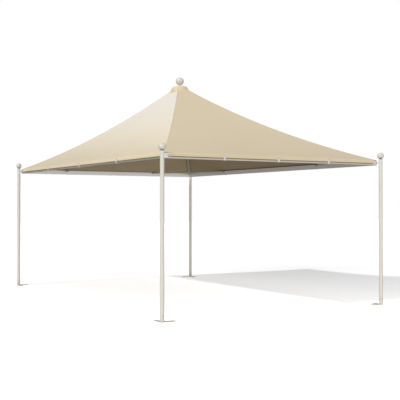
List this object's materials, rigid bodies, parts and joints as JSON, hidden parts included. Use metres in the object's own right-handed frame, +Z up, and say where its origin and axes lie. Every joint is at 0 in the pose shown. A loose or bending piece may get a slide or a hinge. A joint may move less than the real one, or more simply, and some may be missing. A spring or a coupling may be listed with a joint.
{
  "type": "garden gazebo",
  "caption": "Rectangular garden gazebo: tube posts with ball finials, an eaves frame with curved hip rafters, and a swept fabric roof rising to a crown with a ball.",
  "frame": {"origin": "on the ground in the middle of the plan", "axes": "+Z up, X along the short sides, Y along the long sides, with the front side towards -Y"},
  "size_m": [4.104, 6.104, 3.9095],
  "materials": {
    "post_paint": "cream white powder coat, satin",
    "beam_paint": "silver grey metallic powder coat, satin",
    "foot_paint": "cream white powder coat on flat plate, satin",
    "ball_paint": "cream white powder coat, semi gloss",
    "bracket_zinc": "zinc plated steel",
    "clip_paint": "white powder coat, satin",
    "roof_fabric": "coated polyester canvas in pale sand, fine weave, matt"
  },
  "bodies": {
    "root": {"foot_front_left": "foot_paint", "foot_front_right": "foot_paint", "foot_back_left": "foot_paint", "foot_back_right": "foot_paint", "post_front_left": "post_paint", "post_front_right": "post_paint", "post_back_left": "post_paint", "post_back_right": "post_paint", "post_ball_front_left": "ball_paint", "post_ball_front_right": "ball_paint", "post_ball_back_left": "ball_paint", "post_ball_back_right": "ball_paint", "corner_bracket_front_left": "bracket_zinc", "corner_bracket_front_right": "bracket_zinc", "corner_bracket_back_left": "bracket_zinc", "corner_bracket_back_right": "bracket_zinc", "front_eaves_beam": "beam_paint", "right_eaves_beam": "beam_paint", "back_eaves_beam": "beam_paint", "left_eaves_beam": "beam_paint", "corner_brace_front_left": "beam_paint", "corner_brace_front_right": "beam_paint", "corner_brace_back_left": "beam_paint", "corner_brace_back_right": "beam_paint", "hip_rafter_front_left": "beam_paint", "hip_rafter_front_right": "beam_paint", "hip_rafter_back_left": "beam_paint", "hip_rafter_back_right": "beam_paint", "apex_hub": "beam_paint", "front_roof_panel": "roof_fabric", "right_roof_panel": "roof_fabric", "back_roof_panel": "roof_fabric", "left_roof_panel": "roof_fabric", "roof_crown": "roof_fabric", "apex_ball": "ball_paint", "hem_clip_front_1": "clip_paint", "hem_clip_front_2": "clip_paint", "hem_clip_front_3": "clip_paint", "hem_clip_right_1": "clip_paint", "hem_clip_right_2": "clip_paint", "hem_clip_right_3": "clip_paint", "hem_clip_back_1": "clip_paint", "hem_clip_back_2": "clip_paint", "hem_clip_back_3": "clip_paint", "hem_clip_left_1": "clip_paint", "hem_clip_left_2": "clip_paint", "hem_clip_left_3": "clip_paint"}
  },
  "joints": []
}
